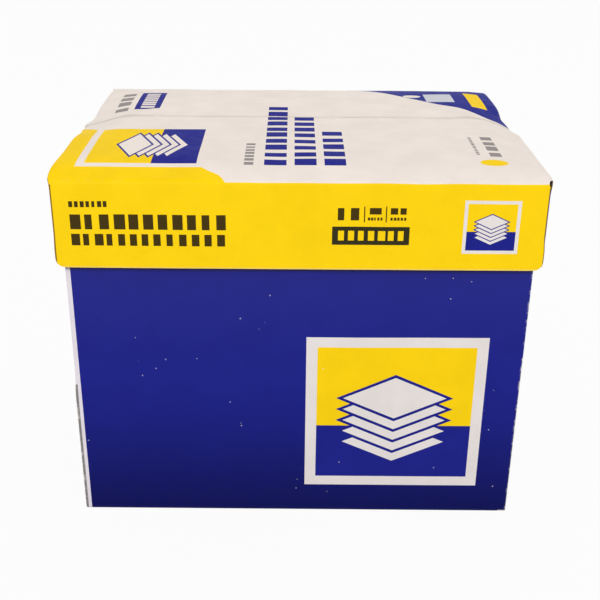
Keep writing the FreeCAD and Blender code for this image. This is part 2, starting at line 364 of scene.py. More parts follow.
def shapeTray(point):
    onSide, onFront = onWalls(point, tray)
    rise = math.sin(math.pi * min(1.0, max(0.0, point.z / tray["wall"])))
    bowAlong = 1 - (point.y / tray["halfY"]) ** 2
    bowAcross = 1 - (point.x / tray["halfX"]) ** 2
    dented = between(swelling["dentY"], point.y) * onSide
    scale, high = tray["crumple"]
    crumple = noise.noise(point * scale) * high
    point.x += math.copysign(tray["bow"] * bowAlong * rise * onSide, point.x)
    point.y += math.copysign(tray["bow"] * bowAcross * rise * onFront, point.y) + crumple * onFront * rise
    down, fromShare = tray["rimDent"]
    point.z -= down * dented * smooth(fromShare, 1.0, point.z / tray["wall"])
    out, top = tray["peel"]
    endX, endY, closing = tray["peelShare"]
    atEnd = smooth(endX, 1.0, -point.x / tray["halfX"]) * smooth(endY, 1.0, -point.y / tray["halfY"])
    point.x -= out * atEnd * (1 - smooth(closing, 1.0, point.z / top))


def panelOf(place, sheet, flat):
    # Which part a place on the blank belongs to: 0 panel, 1 front, 2 back, 3 left, 4 right, 5 tab
    across, along = abs(place.x), abs(place.y)
    printX = mixed(flat["foldX"], flat["bentX"], sheet["printTurn"])
    printY = mixed(flat["foldY"], flat["bentY"], sheet["printTurn"])
    if along > flat["sideEnd"] and across > sheet["halfX"]:
        return 5 if along > flat["tabBent"] else (3 if place.x < 0 else 4)
    if along > printY:
        return 1 if place.y < 0 else 2
    if across > printX:
        return 3 if place.x < 0 else 4
    return 0


def foldedSheet(name, sheet, shapePoint, outer, inner, cut):
    # One folded sheet of board. outer holds the five printed materials, in panelOf's order.
    flat = blankPlaces(sheet)
    blank = cutBlank(sheet, flat)
    moved = blank.verts.layers.float_vector.new("moved")  # how far the shaping moves each place
    for face in blank.faces:
        face.material_index = panelOf(face.calc_center_median(), sheet, flat)
        face.smooth = True
    for vert in blank.verts:
        plain = foldPoint(vert.co.x, vert.co.y, sheet, flat)
        shaped = plain.copy()
        shapePoint(shaped)
        vert[moved] = shaped - plain
        vert.co = shaped
    bmesh.ops.recalc_face_normals(blank, faces=blank.faces)
    middle = min(blank.faces, key=lambda face: face.calc_center_median().xy.length)
    if middle.normal.z * -sheet["upwards"] < 0:
        bmesh.ops.reverse_faces(blank, faces=blank.faces)
    mesh = bpy.data.meshes.new(name)
    blank.to_mesh(mesh)
    blank.free()
    piece = addObject(name, mesh)
    slots = len(outer) + 1  # as many outside as inside and on the cut rim
    for material in [*outer, inner] + [inner] * slots + [cut] * slots:
        mesh.materials.append(material)
    wall = piece.modifiers.new("boardThickness", "SOLIDIFY")
    wall.thickness = board["thick"]
    wall.offset = -1
    wall.use_even_offset = True
    wall.use_quality_normals = True
    wall.material_offset = slots
    wall.material_offset_rim = 2 * slots
    soft = piece.modifiers.new("cutEdgeRound", "BEVEL")
    soft.limit_method = "ANGLE"
    soft.angle_limit = math.radians(board["cutAngle"])
    soft.width = board["cutRound"]
    soft.segments = 2
    soft.material = 2 * slots
    print(name, "folded from", len(mesh.polygons), "faces")
    return piece


# Node helpers for the printed materials

def newMaterial(name):
    material = bpy.data.materials.new(name)
    material.use_nodes = True
    return material, material.node_tree, material.node_tree.nodes["Principled BSDF"]


def plug(tree, socket, value):
    if isinstance(value, bpy.types.NodeSocket):
        tree.links.new(value, socket)
    else:
        socket.default_value = value


def addNode(tree, kind, values, **settings):
    # values: numbers or other nodes' outputs, by each input's name or number
    node = tree.nodes.new("ShaderNode" + kind)
    for name, setting in settings.items():
        setattr(node, name, setting)
    for place, value in values.items():
        plug(tree, node.inputs[place], value)
    return node


def maths(tree, operation, *values):
    return addNode(tree, "Math", dict(enumerate(values)), operation=operation).outputs[0]


def times(tree, first, second):
    return maths(tree, "MULTIPLY", first, second)


def minus(tree, first, second):
    return maths(tree, "SUBTRACT", first, second)


def distanceFrom(tree, value, centre):
    return maths(tree, "ABSOLUTE", minus(tree, value, centre))


def mixNumber(tree, share, first, second):
    return addNode(tree, "Mix", {0: share, 2: first, 3: second}).outputs[0]


def mixColour(tree, share, first, second):
    return addNode(tree, "Mix", {0: share, 6: first, 7: second}, data_type="RGBA").outputs[2]


def scaled(tree, colour, share):
    return addNode(tree, "VectorMath", {0: colour, "Scale": share}, operation="SCALE").outputs[0]


def mapRange(tree, value, low, high, newLow=0.0, newHigh=1.0):
    values = dict(enumerate((value, low, high, newLow, newHigh)))
    return addNode(tree, "MapRange", values, interpolation_type="SMOOTHSTEP").outputs[0]


def noiseField(tree, vector, scale, detail=3.0, roughness=0.55):
    values = {"Vector": vector, "Scale": scale, "Detail": detail, "Roughness": roughness}
    return addNode(tree, "TexNoise", values).outputs["Fac"]


def noiseRange(tree, vector, field, *span):
    return mapRange(tree, noiseField(tree, vector, *field), *span)


def stretched(tree, vector, scale):
    return addNode(tree, "Mapping", {"Vector": vector, "Scale": scale}).outputs[0]


def placeParts(tree, vector):
    split = addNode(tree, "SeparateXYZ", {0: vector}).outputs
    return {"all": vector, "x": split["X"], "y": split["Y"], "z": split["Z"]}


def objectPlace(tree):
    return placeParts(tree, addNode(tree, "TexCoord", {}).outputs["Object"])


def boardPlace(tree):
    # Places on the sheet before its shaping, so that print and worn edges follow the board
    shaped = addNode(tree, "TexCoord", {}).outputs["Object"]
    moved = addNode(tree, "Attribute", {}, attribute_name="moved").outputs["Vector"]
    plain = addNode(tree, "VectorMath", {0: shaped, 1: moved}, operation="SUBTRACT")
    return placeParts(tree, plain.outputs[0])


def coat(tree, shader, colour, roughness, height, bump):
    # bump: strength and distance of the relief that height draws
    plug(tree, shader.inputs["Base Color"], colour)
    plug(tree, shader.inputs["Roughness"], roughness)
    relief = addNode(tree, "Bump", {"Height": height, "Strength": bump[0], "Distance": bump[1]})
    plug(tree, shader.inputs["Normal"], relief.outputs["Normal"])


def linear(red, green, blue):
    # A print colour from its usual 0 to 255 numbers
    def one(part):
        part /= 255
        return part / 12.92 if part <= 0.04045 else ((part + 0.055) / 1.055) ** 2.4
    return one(red), one(green), one(blue), 1.0


inks = {
    "boardWhite": linear(240, 229, 220),
    "frameWhite": linear(232, 225, 222),
    "yellow": linear(254, 212, 12),
    "navy": linear(28, 33, 134),
    # the next two: the tray's blue with painted shade, and with painted light
    "navyPaintedShade": linear(5, 9, 76),
    "navyPaintedLight": linear(42, 45, 134),
    # dark print, also used for painted shade and a painted shadow
    "darkInkAndShade": linear(40, 32, 24),
    "brownInk": linear(66, 52, 14),
    "labelInk": linear(50, 47, 26),
    "greyInk": linear(150, 142, 140),
    "palePanel": linear(206, 208, 214),
    "bareBoard": linear(230, 223, 230),
    "frayed": linear(134, 130, 128),
    "crushed": linear(140, 104, 24),
    "rubbedWhite": linear(160, 150, 142),
    "craft": linear(176, 136, 92),
    "craftShadow": linear(92, 64, 38),
    "innerLiner": linear(190, 156, 112),
    "wrapperWhite": linear(236, 236, 232),
}


# Masks: 1 inside a form that is drawn on the panel, 0 outside

def inSpan(tree, value, low, high):
    return maths(tree, "LESS_THAN", distanceFrom(tree, value, (low + high) / 2), (high - low) / 2)


def inRect(tree, a, b, lowA, lowB, highA, highB):
    return times(tree, inSpan(tree, a, lowA, highA), inSpan(tree, b, lowB, highB))


def inOval(tree, a, b, centreA, centreB, radiusA, radiusB, power=2.0):
    # A power of 1 makes it a diamond
    shares = []
    for value, centre, radius in ((a, centreA, radiusA), (b, centreB, radiusB)):
        share = maths(tree, "DIVIDE", distanceFrom(tree, value, centre), radius)
        shares.append(maths(tree, "POWER", share, power))
    return maths(tree, "LESS_THAN", maths(tree, "ADD", *shares), 1.0)


blocks = {
    "shortest": 0.50,  # share of the pitch that a block fills
    "spare": 0.30,  # how much longer it may be
    "lastGap": 0.35,  # share of the last pitch past the end of the row
}


def blockRow(tree, a, b, row):
    # Plain blocks of uneven length along a; the pitch is fitted so that the last one is whole
    lowA, lowB, highA, highB, pitch, seed = row
    count = max(1, round((highA - lowA) / pitch))
    pitch = (highA - lowA) / (count - blocks["lastGap"])
    steps = maths(tree, "DIVIDE", minus(tree, a, lowA), pitch)
    cell = maths(tree, "ADD", maths(tree, "FLOOR", steps), seed)
    chance = addNode(tree, "TexWhiteNoise", {"W": cell}, noise_dimensions="1D")
    share = maths(tree, "MULTIPLY_ADD", chance.outputs["Value"], blocks["spare"], blocks["shortest"])
    block = maths(tree, "LESS_THAN", maths(tree, "FRACT", steps), share)
    return times(tree, block, inRect(tree, a, b, lowA, lowB, highA, highB))


sign = {  # stacked sheets, in shares of the sign's size
    "border": 0.062,
    "groundTop": 0.42,
    "sheets": 5,
    "lowest": 0.31,
    "pitch": 0.074,
    "halfWide": 0.29,
    "halfTall": 0.135,
    "outline": 0.020,
    "widen": 2,  # the outline shows more at the side corners
}


def signLayers(tree, a, b, low, high, white):
    wide, tall = high[0] - low[0], high[1] - low[1]
    border = sign["border"] * wide
    innerLow, innerHigh = (low[0] + border, low[1] + border), (high[0] - border, high[1] - border)
    split = low[1] + sign["groundTop"] * tall
    layers = [
        (inRect(tree, a, b, *low, *high), white),
        (inRect(tree, a, b, *innerLow, *innerHigh), inks["yellow"]),
        (inRect(tree, a, b, *innerLow, innerHigh[0], split), inks["navy"]),
    ]
    for index in range(sign["sheets"]):
        centreB = low[1] + tall * (sign["lowest"] + sign["pitch"] * index)
        for grow, ink in ((sign["outline"], inks["navy"]), (0.0, white)):
            halfWide = wide * (sign["halfWide"] + sign["widen"] * grow)
            halfTall = tall * (sign["halfTall"] + grow)
            sheet = inOval(tree, a, b, low[0] + wide / 2, centreB, halfWide, halfTall, power=1.0)
            layers.append((sheet, ink))
    return layers


def paintLayers(tree, base, layers):
    # Prints each mask's colour over what is under it
    colour = base
    for mask, ink in layers:
        colour = mixColour(tree, mask, colour, ink)
    return colour


contrast = (0.3, 0.7)  # the part of a noise's range that is used

finish = {  # of the coated, printed liner; a noise has its scale and detail
    "mottleNoise": (48.0, 4.0),
    "mottle": (0.965, 1.02),
    "roughNoise": (140.0, 3.0),
    "rough": (0.05, 0.07),  # below and above a piece's own roughness
    "specular": 0.07,
    "topSpecular": 0.025,  # seen at a flat angle, where gloss fades colours
    "fluteBump": 0.045,
    "grainNoise": (900.0, 2.0),
    "grainBump": 0.07,
    "slowNoise": (16.0, 2.0),
    "slowBump": 0.5,
    "bump": (0.35, 0.0006),  # strength and distance
    "wearNoise": (170.0, 5.0, 0.7),
    "wearBreaks": (0.50, 0.62),
}


def printedBoard(tree, shader, place, colour, roughness, fluteAcross, wear):
    # Coated board: mottled ink, fine grain, slow unevenness and the flutes' faint lines
    vector = place["all"]
    mottle = noiseRange(tree, vector, finish["mottleNoise"], *contrast, *finish["mottle"])
    toned = scaled(tree, colour, mottle)
    rubbed, bareInk = wear
    worn = mixColour(tree, rubbed, toned, bareInk)
    below, above = finish["rough"]
    rough = noiseRange(tree, vector, finish["roughNoise"], *contrast, roughness - below, roughness + above)
    wave = maths(tree, "SINE", times(tree, place[fluteAcross], 2 * math.pi / board["flute"]))
    grain = times(tree, noiseField(tree, vector, *finish["grainNoise"]), finish["grainBump"])
    slow = times(tree, noiseField(tree, vector, *finish["slowNoise"]), finish["slowBump"])
    height = maths(tree, "MULTIPLY_ADD", wave, finish["fluteBump"], maths(tree, "ADD", grain, slow))
    coat(tree, shader, worn, rough, height, finish["bump"])
    shader.inputs["Specular IOR Level"].default_value = finish["specular"]


def edgeWear(tree, place, sheet, wide, amount):
    # Rubbed print along the folds: the middle one of a place's distances to three outer planes
    fromX = minus(tree, sheet["halfX"], maths(tree, "ABSOLUTE", place["x"]))
    fromY = minus(tree, sheet["halfY"], maths(tree, "ABSOLUTE", place["y"]))
    fromZ = distanceFrom(tree, place["z"], sheet["panelZ"])
    smaller = maths(tree, "MINIMUM", fromX, fromY)
    larger = maths(tree, "MAXIMUM", fromX, fromY)
    toEdge = maths(tree, "MAXIMUM", smaller, maths(tree, "MINIMUM", larger, fromZ))
    rubbed = mapRange(tree, toEdge, 0.0, wide, 1.0, 0.0)
    broken = noiseRange(tree, place["all"], finish["wearNoise"], *finish["wearBreaks"])
    return times(tree, times(tree, rubbed, broken), amount)


# Print on the lid: places across (X) and up or back, in metres; a row is low, high, pitch and seed

topPrint = {
    "yellowCorner": -0.1643,  # the front left corner is yellow where x + y is less
    "yellowBulge": (-0.1114, 0.0068, 0.0022),  # rounded out there: y, half width and reach
    "navyCorner": (0.104, 0.128, 0.1550, 0.1605),  # navy where x + y is more: it grows between these two x
    "signLow": (-0.1020, 0.0609),  # the sign is turned: along Y, and up towards the left
    "signHigh": (-0.0190, 0.1430),
    "columns": [
        (-0.0983, -0.0229, 0.0390, -0.0085, 0.0136, 11),
        (-0.0980, -0.0034, 0.0098, 0.0108, 0.0139, 25),
        (-0.0982, 0.0158, -0.0274, 0.0297, 0.0144, 30),
    ],
    "greyColumns": [
        (-0.0985, -0.0358, -0.0567, -0.0297, 0.0058, 7),
        (-0.0780, 0.1160, -0.0385, 0.1182, 0.0032, 9),
        (-0.0810, 0.1245, -0.0380, 0.1322, 0.0105, 14),
    ],
    "label": (-0.1253, 0.0300, -0.1060, 0.0800),
    "labelRow": (0.0335, -0.1210, 0.0765, -0.1105, 0.0062, 5),
    "greyRow": (0.0280, -0.1400, 0.0780, -0.1300, 0.0125, 12),
    "paleCard": (0.1000, 0.0550, 0.1220, 0.0820),
    "yellowCard": (0.1335, 0.0430, 0.1455, 0.0900),
    "oval": (0.0903, 0.0741, 0.0070, 0.0048),
    "drop": (0.1250, -0.0920, 0.0090, 0.0050),
    "crease": (0.0064, 0.26),  # half width and strength of the painted shade along the crease
    "creaseNoise": (60.0, 3.0),
    "creaseBreaks": (0.35, 0.6, 0.5, 1.0),
    "cornerGapShade": (0.1562, -0.1165, 0.0014, 0.0022),  # painted shade for the dark hole at the front fold's right end
    "wear": (0.0018, 0.3),  # width and amount
    "roughness": 0.46,
}


def creaseShade(tree, place):
    # How dark the painted shade along the crease is; it bends forward near the side folds
    away = minus(tree, lid["halfX"], maths(tree, "ABSOLUTE", place["x"]))
    away = maths(tree, "DIVIDE", away, swelling["shoulder"])
    inner = maths(tree, "SINE", times(tree, maths(tree, "MINIMUM", away, 1.0), math.pi / 2))
    near = minus(tree, 1.0, inner)
    fromLine = minus(tree, place["y"], swelling["creaseY"])
    fromLine = maths(tree, "MULTIPLY_ADD", near, swelling["creaseBend"], fromLine)
    halfWide, strength = topPrint["crease"]
    line = mapRange(tree, maths(tree, "ABSOLUTE", fromLine), 0.0, halfWide, strength, 0.0)
    patches = noiseRange(tree, place["all"], topPrint["creaseNoise"], *topPrint["creaseBreaks"])
    return times(tree, line, patches)


def lidTopMaterial():
    material, tree, shader = newMaterial("lidTopPrint")
    place = boardPlace(tree)
    x, y = place["x"], place["y"]
    total = maths(tree, "ADD", x, y)
    navyEdge = mapRange(tree, x, *topPrint["navyCorner"])
    left = times(tree, x, -1.0)
    layers = [(blockRow(tree, y, x, row), inks["navy"]) for row in topPrint["columns"]]
    layers += [(blockRow(tree, y, x, row), inks["greyInk"]) for row in topPrint["greyColumns"]]
    centre, halfWide, reach = topPrint["yellowBulge"]
    roundedOut = mapRange(tree, distanceFrom(tree, y, centre), 0.0, halfWide, reach, 0.0)
    yellowEdge = maths(tree, "ADD", roundedOut, topPrint["yellowCorner"])
    layers.append((maths(tree, "LESS_THAN", total, yellowEdge), inks["yellow"]))
    layers += signLayers(tree, y, left, topPrint["signLow"], topPrint["signHigh"], inks["boardWhite"])
    layers += [
        (maths(tree, "GREATER_THAN", total, navyEdge), inks["navy"]),
        (inRect(tree, x, y, *topPrint["label"]), inks["navy"]),
        (blockRow(tree, y, x, topPrint["labelRow"]), inks["boardWhite"]),
        (blockRow(tree, y, x, topPrint["greyRow"]), inks["greyInk"]),
        (inRect(tree, x, y, *topPrint["paleCard"]), inks["palePanel"]),
        (inRect(tree, x, y, *topPrint["yellowCard"]), inks["yellow"]),
        (inOval(tree, x, y, *topPrint["oval"]), inks["boardWhite"]),
        (inOval(tree, x, y, *topPrint["drop"]), inks["yellow"]),
        # painted shade for the dark hole at the front fold's right end
        (inOval(tree, x, y, *topPrint["cornerGapShade"]), inks["darkInkAndShade"]),
    ]
    wear = edgeWear(tree, place, lid, *topPrint["wear"])
    colour = paintLayers(tree, inks["boardWhite"], layers)
    # the crease darkens the print under it: painted shade
    colour = scaled(tree, colour, minus(tree, 1.0, creaseShade(tree, place)))
    printedBoard(tree, shader, place, colour, topPrint["roughness"], "x", (wear, inks["rubbedWhite"]))
    shader.inputs["Specular IOR Level"].default_value = finish["topSpecular"]
    return material


frontPrint = {
    "rows": [
        (-0.1450, 0.2239, -0.0465, 0.2341, 0.0091, 3),
        (-0.1450, 0.2128, -0.0880, 0.2208, 0.0071, 17),
        (-0.0845, 0.2128, -0.0470, 0.2208, 0.0075, 20),
        (-0.1450, 0.2390, -0.1210, 0.2430, 0.0033, 8),
        (0.0240, 0.2312, 0.0375, 0.2395, 0.0070, 4),
        (0.0440, 0.2352, 0.0515, 0.2395, 0.0088, 6),
        (0.0430, 0.2312, 0.0522, 0.2332, 0.0019, 2),
        (0.0572, 0.2352, 0.0672, 0.2395, 0.0056, 2),
        (0.0572, 0.2312, 0.0672, 0.2332, 0.0022, 5),
    ],
    "dividers": [(0.0405, 0.2300, 0.0412, 0.2405), (0.0542, 0.2300, 0.0549, 0.2405)],
    "label": (0.0207, 0.2146, 0.0697, 0.2270),
    "labelRow": (0.0245, 0.2176, 0.0665, 0.2242, 0.0061, 21),
    "signLow": (0.1035, 0.2090),
    "signHigh": (0.1390, 0.2450),
    "crushedEnds": [(-0.1570, 0.2010, -0.1555, 0.2540), (0.1559, 0.2010, 0.1570, 0.2540)],
    "cornerGapShade": (0.1565, 0.2562, 0.0014, 0.0020),  # lower half of the same painted shade for that hole
    "paleEdge": (0.0015, 0.20),  # thin print along the lower cut edge: height and strength
    "sideRows": [
        (-0.0600, 0.2239, 0.0385, 0.2341, 0.0091, 3),
        (-0.0600, 0.2128, -0.0030, 0.2208, 0.0071, 17),
        (0.0005, 0.2128, 0.0380, 0.2208, 0.0075, 20),
    ],
    "wear": (0.0014, 0.35),
    "roughness": 0.44,
}


def frontLayers(tree, x, z):
    layers = [(blockRow(tree, x, z, row), inks["brownInk"]) for row in frontPrint["rows"]]
    layers += [(inRect(tree, x, z, *line), inks["darkInkAndShade"]) for line in frontPrint["dividers"]]
    layers.append((inRect(tree, x, z, *frontPrint["label"]), inks["labelInk"]))
    layers.append((blockRow(tree, x, z, frontPrint["labelRow"]), inks["yellow"]))
    layers += signLayers(tree, x, z, frontPrint["signLow"], frontPrint["signHigh"], inks["frameWhite"])
    layers += [(inRect(tree, x, z, *end), inks["crushed"]) for end in frontPrint["crushedEnds"]]
    # painted shade for the dark hole at the fold's right end
    layers.append((inOval(tree, x, z, *frontPrint["cornerGapShade"]), inks["darkInkAndShade"]))
    return layers


def lidWallMaterial(name, ground, along, flutes):
    # One wall's print on its ground; walls other than the front have rows only, along x or y
    material, tree, shader = newMaterial(name)
    place = boardPlace(tree)
    onNavy = ground == inks["navy"]
    if name == "lidFrontPrint":
        layers = frontLayers(tree, place["x"], place["z"])
    else:
        ink = inks["frameWhite"] if onNavy else inks["darkInkAndShade"]
        layers = [(blockRow(tree, place[along], place["z"], row), ink) for row in frontPrint["sideRows"]]
    high, strength = frontPrint["paleEdge"]
    paleEdge = mapRange(tree, place["z"], lidLow.z, lidLow.z + high, strength, 0.0)
    layers.append((paleEdge, inks["frameWhite"]))
    wear = edgeWear(tree, place, lid, *frontPrint["wear"])
    rubbed = inks["frameWhite"] if onNavy else inks["craft"]
    colour = paintLayers(tree, ground, layers)
    printedBoard(tree, shader, place, colour, frontPrint["roughness"], flutes, (wear, rubbed))
    return material


# Print on the tray

trayPrint = {
    "signLow": (0.0056, 0.0240),
    "signHigh": (0.1288, 0.1446),
    "bareStrip": 0.0031,  # unprinted board at the left end of the front wall
    "endLines": [(-0.1526, 0.0, -0.1513, 0.1060), (0.1521, 0.0, 0.1526, 0.1300)],  # frayed cut ends
    "chip": (0.1470, -0.0010, 0.1530, 0.0022),
    "lidShadowLine": (0.0028, 0.0031, 0.75),  # painted shadow under the lid's edge: depth, half width, strength
    "deep": (-0.03, 0.12),  # painted shade: deep blue below, plain blue above
    "high": (0.10, 0.22, 0.8),  # painted light, a paler blue above: from, full, amount
    "speckScale": 120.0,
    "speckSize": 0.055,
    "speckNoise": (26.0, 1.0),
    "speckFrom": 0.56,  # specks only where that noise is higher
    "speckAmount": 0.6,
    "wear": (0.0014, 0.7),
    "roughness": 0.46,
}


def trayWallMaterial(name, flutes):
    # Dark blue print, deepened towards the bottom by painted shade and paled towards the top by painted
    # light, with a painted shadow under the lid's edge, pinholes and rubbed edges
    material, tree, shader = newMaterial(name)
    place = boardPlace(tree)
    x, z = place["x"], place["z"]
    # painted shade makes the blue deeper towards the bottom, painted light makes it paler towards the top
    toPlain = mapRange(tree, z, *trayPrint["deep"])
    ground = mixColour(tree, toPlain, inks["navyPaintedShade"], inks["navy"])
    start, full, amount = trayPrint["high"]
    ground = mixColour(tree, mapRange(tree, z, start, full, 0.0, amount), ground, inks["navyPaintedLight"])
    layers = []
    if name == "trayFrontPrint":
        layers += signLayers(tree, x, z, trayPrint["signLow"], trayPrint["signHigh"], inks["frameWhite"])
        bare = maths(tree, "LESS_THAN", x, trayPrint["bareStrip"] - tray["halfX"])
        layers.append((bare, inks["bareBoard"]))
        layers += [(inRect(tree, x, z, *line), inks["frayed"]) for line in trayPrint["endLines"]]
        layers.append((inRect(tree, x, z, *trayPrint["chip"]), inks["frameWhite"]))
    # A painted shadow of the lid's edge: a dark line round the tray's walls just under the lid, which stays
    # when the lid is lifted
    down, halfWide, strength = trayPrint["lidShadowLine"]
    fromLidShadow = distanceFrom(tree, z, lidLow.z - down)
    layers.append((mapRange(tree, fromLidShadow, 0.0, halfWide, strength, 0.0), inks["darkInkAndShade"]))
    cells = addNode(tree, "TexVoronoi", {"Vector": place["all"], "Scale": trayPrint["speckScale"]})
    specks = maths(tree, "LESS_THAN", cells.outputs["Distance"], trayPrint["speckSize"])
    patches = noiseField(tree, place["all"], *trayPrint["speckNoise"])
    specks = times(tree, specks, maths(tree, "GREATER_THAN", patches, trayPrint["speckFrom"]))
    layers.append((times(tree, specks, trayPrint["speckAmount"]), inks["frameWhite"]))
    wear = edgeWear(tree, place, tray, *trayPrint["wear"])
    colour = paintLayers(tree, ground, layers)
    bareInk = inks["frameWhite"]
    printedBoard(tree, shader, place, colour, trayPrint["roughness"], flutes, (wear, bareInk))
    return material


liner = {  # bare paper of the board
    "fibreStretch": (300.0, 60.0, 90.0),
    "fibreNoise": (4.0, 5.0, 0.7),
    "fleckNoise": (420.0, 2.0),
    "fleck": (0.64, 0.70, 0.0, 0.5),
    "tones": (0.84, 1.12),  # of the colour, between and on the fibres
    "rough": (0.78, 0.92),
    "bump": (0.3, 0.0004),
}


def plainBoard(name, colour):
    # Unprinted liner: pale brown paper with long fibres and dark flecks
    material, tree, shader = newMaterial(name)
    vector = objectPlace(tree)["all"]
    fibres = noiseField(tree, stretched(tree, vector, liner["fibreStretch"]), *liner["fibreNoise"])
    flecks = noiseRange(tree, vector, liner["fleckNoise"], *liner["fleck"])
    deep, pale = (tuple(part * tone for part in colour[:3]) + (1.0,) for tone in liner["tones"])
    toned = mixColour(tree, mapRange(tree, fibres, *contrast), deep, pale)
    flecked = mixColour(tree, flecks, toned, inks["craftShadow"])
    coat(tree, shader, flecked, mapRange(tree, fibres, *contrast, *liner["rough"]), fibres, liner["bump"])
    return material


cutFace = {
    "wallDeep": 1.15,  # in thicknesses: how far in the front and back walls reach,
    "tabDeep": 2.3,  # the glued tabs behind them,
    "tabSide": 1.5,  # and how far from the side walls' outside the tabs begin
    "crossCut": 0.0012,  # the flutes show as a wave from this far in
    "waveHigh": 0.72,  # in half thicknesses
    "fluteLine": (0.16, 0.34),
    "linerLine": (0.74, 0.84),
    "fuzzNoise": (700.0, 2.0),
    "fuzz": (0.35, 0.65, 0.75, 1.0),
    "roughness": 0.9,
    "specular": 0.2,
    "bump": (0.7, 0.0010),
}


def cutEdge(name, sheet):
    # Two liners and the fluted sheet between, a wave where the flutes are cut across
    material, tree, shader = newMaterial(name)
    place = boardPlace(tree)
    thick = board["thick"]
    farX = maths(tree, "ABSOLUTE", place["x"])
    farY = maths(tree, "ABSOLUTE", place["y"])
    onWall = maths(tree, "GREATER_THAN", farY, sheet["halfY"] - cutFace["wallDeep"] * thick)
    onTab = maths(tree, "GREATER_THAN", farY, sheet["halfY"] - cutFace["tabDeep"] * thick)
    besideWall = maths(tree, "LESS_THAN", farX, sheet["halfX"] - cutFace["tabSide"] * thick)
    onTab = times(tree, onTab, besideWall)
    inSide = minus(tree, farX, sheet["halfX"] - thick)
    inTab = minus(tree, farY, sheet["halfY"] - 2 * thick - board["tabSlack"])
    inWall = minus(tree, farY, sheet["halfY"] - thick)
    depth = mixNumber(tree, onWall, mixNumber(tree, onTab, inSide, inTab), inWall)
    centred = maths(tree, "MULTIPLY_ADD", depth, 2 / thick, -1.0)
    across = mixNumber(tree, onWall, place["z"], place["x"])
    crossCut = maths(tree, "LESS_THAN", farX, sheet["halfX"] - cutFace["crossCut"])
    crossCut = times(tree, crossCut, maths(tree, "MAXIMUM", onWall, onTab))
    wave = maths(tree, "SINE", times(tree, across, 2 * math.pi / board["flute"]))
    wave = times(tree, wave, times(tree, crossCut, cutFace["waveHigh"]))
    flutes = mapRange(tree, distanceFrom(tree, centred, wave), *cutFace["fluteLine"], 1.0, 0.0)
    liners = mapRange(tree, maths(tree, "ABSOLUTE", centred), *cutFace["linerLine"])
    fuzz = noiseRange(tree, place["all"], cutFace["fuzzNoise"], *cutFace["fuzz"])
    paper = times(tree, maths(tree, "MAXIMUM", flutes, liners), fuzz)
    # the hollows between the flutes and the liners are painted dark brown as shade
    colour = mixColour(tree, paper, inks["craftShadow"], inks["craft"])
    coat(tree, shader, colour, cutFace["roughness"], paper, cutFace["bump"])
    shader.inputs["Specular IOR Level"].default_value = cutFace["specular"]
    return material


# Reams

ream = {
    "names": ["ream_1", "ream_2", "ream_3", "ream_4", "ream_5"],
    "edgeRound": 0.0016,
    "paper": 0.00013,  # one layer of the wrapper's folded ends
    "tuckReach": 0.030,
    "lowFlap": 0.029,
    "highFlap": 0.033,
    "flapDraw": 0.022,  # a flap's free edge is drawn in by this at each side
    "flapThick": 0.0008,  # a flap's block reaches this far into the ream
    "layers": 6,  # layers of paper at both folded ends together
    "topRoom": 0.0001,
    "longEdge": 0.02,  # edges longer than this are divided
    "cuts": 9,
    "sideRoom": 0.0022,  # the folded ends stop this far from the ream's sides
    "endRoom": 0.0018,  # and this far from its bottom and top
    "squeeze": (0.00012, 30, 40),  # dents in its long sides: depth, scale, and shift from ream to ream
    "sideShare": 0.9,  # share of the half depth where those sides begin
    "bands": [((-0.098, -0.040), "navy"), ((-0.034, -0.031), "yellow"), ((0.112, 0.118), "navy")],
    "mottleNoise": (60.0, 3.0),
    "mottle": (0.96, 1.02),
    "glossNoise": (220.0, 3.0),
    "gloss": (0.38, 0.52),
    "foldStretch": (14.0, 22.0, 60.0),
    "foldNoise": (2.0, 4.0),
    "bump": (0.4, 0.0012),
}


def wrapperMaterial():
    # White coated paper with plain bands of ink round the ream
    material, tree, shader = newMaterial("reamWrapper")
    place = objectPlace(tree)
    vector = place["all"]
    layers = [(inSpan(tree, place["x"], *band), inks[ink]) for band, ink in ream["bands"]]
    colour = paintLayers(tree, inks["wrapperWhite"], layers)
    toned = scaled(tree, colour, noiseRange(tree, vector, ream["mottleNoise"], *contrast, *ream["mottle"]))
    gloss = noiseRange(tree, vector, ream["glossNoise"], *contrast, *ream["gloss"])
    folds = noiseField(tree, stretched(tree, vector, ream["foldStretch"]), *ream["foldNoise"])
    coat(tree, shader, toned, gloss, folds, ream["bump"])
    return material


def endLayer(block, side, outside, spanY, spanZ, drawn):
    # One folded layer of the wrapper's end; drawn: its free edge is the top one (1) or the bottom one (-1)
    flap = bmesh.ops.create_cube(block, size=1.0)["verts"]
    for vert in flap:
        y = spanY[1] if vert.co.y > 0 else spanY[0]
        if vert.co.z * drawn > 0:
            y -= math.copysign(ream["flapDraw"], vert.co.y)
        vert.co.x = side * (outside if vert.co.x > 0 else outside - ream["flapThick"])
        vert.co.y = y
        vert.co.z = spanZ[1] if vert.co.z > 0 else spanZ[0]
    bmesh.ops.recalc_face_normals(block, faces=list({face for vert in flap for face in vert.link_faces}))


